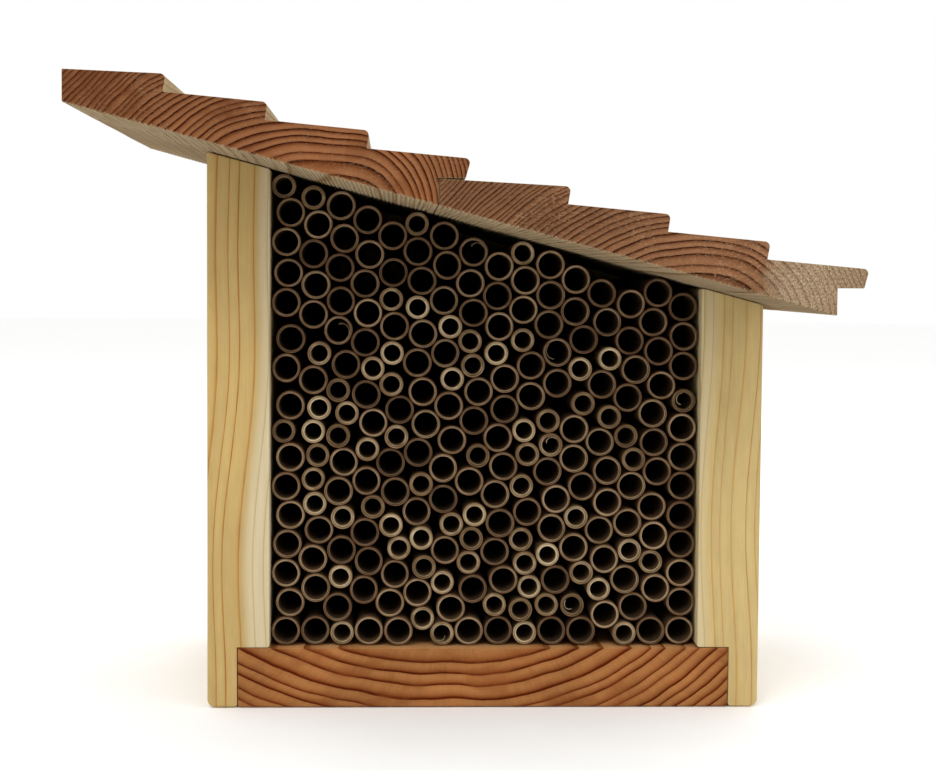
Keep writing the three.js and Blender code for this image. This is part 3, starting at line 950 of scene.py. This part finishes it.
def tube_places(node):
    """(x, z, front, outer radius, bore radius) of every tube in a CAD node, in millimetres."""
    bm = bmesh.new()
    bm.from_mesh(nodes[node].data)
    bmesh.ops.remove_doubles(bm, verts=bm.verts, dist=TUBE_WELD)
    rims = [vert for vert in bm.verts if vert.co.y < FRONT_ZONE]
    waiting = set(rims)
    places = []
    for start in rims:
        if start not in waiting:
            continue
        waiting.discard(start)
        patch = [start]
        for vert in patch:
            for edge in vert.link_edges:
                other = edge.other_vert(vert)
                if other in waiting:
                    waiting.discard(other)
                    patch.append(other)
        spots = [Vector((vert.co.x, vert.co.z)) / MM for vert in patch]
        middle = sum(spots, Vector((0, 0))) / len(spots)
        reaches = [(spot - middle).length for spot in spots]
        front = min(vert.co.y for vert in patch) / MM
        place = (middle.x, middle.y, front, max(reaches), min(reaches))
        places.append(tuple(round(length, PLACE_DIGITS) for length in place))
    bm.free()
    return sorted(places)


def paint(face, layers, values, slot):
    face.material_index = slot
    for layer, value in zip(layers, values):
        face[layer] = value


def add_ring_of_faces(bm, first, second, layers, values, slot):
    for i, vert in enumerate(first):
        j = (i + 1) % len(first)
        paint(bm.faces.new((vert, first[j], second[j], second[i])), layers, values, slot)


def tube_profile(front, outer, bore, step):
    """A tube's section from its outer wall round the rim to the bore: radius, depth and crest.

    crest is 0 on the walls and near 1 on the pale tops of the plies. The inner plies stand back by
    a step from the outer ones, with a groove between them.
    """
    middle = (outer + bore) / 2
    rear = TUBE_REAR / MM
    return [
        (outer, rear, 0), (outer, front + 0.45, 0), (outer - 0.05, front + 0.14, 0.1),
        (outer - 0.22, front, 0.35), (middle + 0.1, front - 0.01, 0.8), (middle + 0.02, front + 0.12, 0.6),
        (middle - 0.06, front + 0.02 + step, 0.9), (bore + 0.2, front + 0.01 + step, 1),
        (bore + 0.06, front + 0.14 + step, 1), (bore, front + 0.5 + step, 0.1), (bore, front + 30, 0),
        (bore, rear, 0),
    ]


def build_tube(bm, place, layers, dice):
    x, z, front, outer, bore = place
    narrow = outer < NARROW_LIMIT
    slot = 1 if narrow else 0
    chance = (dice.random(), dice.random())
    squash = dice.uniform(0.0, SQUASH)
    squash_angle = dice.uniform(0, math.pi)
    rough_edge = dice.uniform(*ROUGH_EDGE)
    seed = dice.uniform(0, 100)
    profile = tube_profile(front, outer, bore, dice.choice(PLY_STEPS))
    loops = []
    for radius, depth, crest in profile:
        loop = []
        for i in range(TUBE_SIDES):
            angle = 2 * math.pi * i / TUBE_SIDES
            spot = Vector((math.cos(angle) * EDGE_WAVES, math.sin(angle) * EDGE_WAVES, seed + radius * 0.3))
            size = radius * (1 - squash * (1 - math.cos(2 * (angle - squash_angle))))
            if radius < (outer + bore) / 2:
                size -= TORN_INSIDE * max(0, noise.noise(spot * 0.8 + Vector((0, 0, 9))))
            lift = 0
            if depth < front + 1:
                lift = rough_edge * (noise.noise(spot) + 0.4 * math.sin(3 * angle + seed))
            point = Vector((
                x + size * math.cos(angle), depth + max(lift, -0.05) + 0.05, z + size * math.sin(angle),
            ))
            loop.append(bm.verts.new(point * MM))
        loops.append(loop)
    for k in range(len(loops) - 1):
        crest = (profile[k][2] + profile[k + 1][2]) / 2
        add_ring_of_faces(bm, loops[k + 1], loops[k], layers, (*chance, crest), slot)
    add_ring_of_faces(bm, loops[0], loops[-1], layers, (*chance, 1), slot)
    if dice.random() < (FLAP_CHANCE_NARROW if narrow else FLAP_CHANCE_WIDE):
        add_flap(bm, x, z, front, bore, layers, slot, dice)


def add_flap(bm, x, z, front, bore, layers, slot, dice):
    """The tube's innermost ply, come loose at the front and curled into the bore."""
    start = dice.uniform(0, 2 * math.pi)
    sweep = dice.uniform(*FLAP_SWEEP)
    curl = dice.uniform(*FLAP_CURL)
    length = dice.uniform(*FLAP_LENGTH)
    rows = [(front + 0.25, 1.0), (front + 0.3 + length * 0.4, 0.75), (front + 0.3 + length, 0.25)]
    sheets = []
    for side in (0, FLAP_THICKNESS):
        for depth, shrink in rows:
            row = []
            for i in range(FLAP_STEPS + 1):
                t = i / FLAP_STEPS
                angle = start + sweep * t
                size = (bore - 0.03) * (1 - curl * shrink * t * t) - side
                point = Vector((x + size * math.cos(angle), depth, z + size * math.sin(angle)))
                row.append(bm.verts.new(point * MM))
            sheets.append(row)
    near, mid, far, near_in, mid_in, far_in = sheets
    pairs = [(near, mid), (mid, far), (far, far_in), (far_in, mid_in), (mid_in, near_in), (near_in, near)]
    faces = []
    for a, b in pairs:
        for i in range(FLAP_STEPS):
            faces.append(bm.faces.new((a[i], a[i + 1], b[i + 1], b[i])))
    for i in (0, FLAP_STEPS):
        faces.append(bm.faces.new((near[i], mid[i], mid_in[i], near_in[i])))
        faces.append(bm.faces.new((mid[i], far[i], far_in[i], mid_in[i])))
    for face in faces:
        paint(face, layers, (FLAP_TONE, 0, 1), slot)
    bmesh.ops.recalc_face_normals(bm, faces=faces)


def add_backing(bm, node, layers):
    """The backing that joins a bundle's tubes at their rear ends, as the CAD solid has it."""
    source = bmesh.new()
    source.from_mesh(nodes[node].data)
    for face in source.faces:
        if all(vert.co.y > TUBE_REAR - BACKING_ZONE for vert in face.verts):
            copy = bm.faces.new([bm.verts.new(vert.co) for vert in face.verts])
            paint(copy, layers, (BACKING_TONE, 0, 1), 1)
    source.free()


def tube_piece(node, dice):
    bm = bmesh.new()
    for name in FACE_VALUES:
        bm.faces.layers.float.new(name)
    layers = [bm.faces.layers.float[name] for name in FACE_VALUES]
    for place in tube_places(node):
        build_tube(bm, place, layers, dice)
    if node.startswith("bundle"):
        add_backing(bm, node, layers)
    mesh = finished(node + ".wound", bm)
    papers = [wide_kraft, narrow_kraft]
    return add_object(node + ".wound", mesh, papers, node, node, TUBE_SMOOTH_ANGLE)


tube_dice = random.Random(TUBE_SEED)
for name in sorted(nodes):
    if name.startswith(("tube_", "bundle_")):
        tube_piece(name, tube_dice)


# ---------- floor and light ----------

FLOOR_RADIUS = 6  # metres
FLOOR_SIDES = 96
FLOOR_DROP = 0.0004  # metres below the object, so that the two don't share a plane
FLOOR_COLOURS = [(250, 250, 249), (253, 253, 252)]
FLOOR_DEPTH = 0.0001
FLOOR_STRENGTH = 0.1
LIGHT_TARGET = (0, 0, 0.1)


def ground():
    g = Graph("studio_floor")
    mottle = g.noise(g.join(*g.millimetres()), 0.02, 3)
    colour = g.ramp(mottle, stops((0.3, 0.7), FLOOR_COLOURS))
    return g.finish(colour, g.add(0.8, g.mul(mottle, 0.1)), mottle, FLOOR_DEPTH, FLOOR_STRENGTH)


floor_bm = bmesh.new()
bmesh.ops.create_circle(floor_bm, cap_ends=True, radius=FLOOR_RADIUS, segments=FLOOR_SIDES)
floor_mesh = finished("studio_floor", floor_bm)
floor_mesh.materials.append(ground())
studio_floor = bpy.data.objects.new("studio_floor", floor_mesh)
studio_floor.location.z = -FLOOR_DROP
scene.collection.objects.link(studio_floor)


def softbox(name, place, size, power):
    """A round soft light that is turned to the object. Its size is in metres, its power in watts."""
    data = bpy.data.lights.new(name, "AREA")
    data.shape = "DISK"
    data.size = size
    data.energy = power
    lamp = bpy.data.objects.new(name, data)
    direction = Vector(LIGHT_TARGET) - Vector(place)
    lamp.rotation_euler = direction.to_track_quat("-Z", "Y").to_euler()
    lamp.location = place
    scene.collection.objects.link(lamp)


softbox("key", (-0.5, -1.3, 1.5), 1.0, 14)
softbox("fill", (1.2, -1.0, 0.6), 1.2, 4)
softbox("rim", (0.4, 1.4, 1.4), 1.2, 6)

world = bpy.data.worlds.new("world")
world.use_nodes = True
background = world.node_tree.nodes["Background"]
background.inputs["Color"].default_value = (1, 1, 1, 1)
background.inputs["Strength"].default_value = 1.0
scene.world = world
scene.view_settings.view_transform = "Standard"
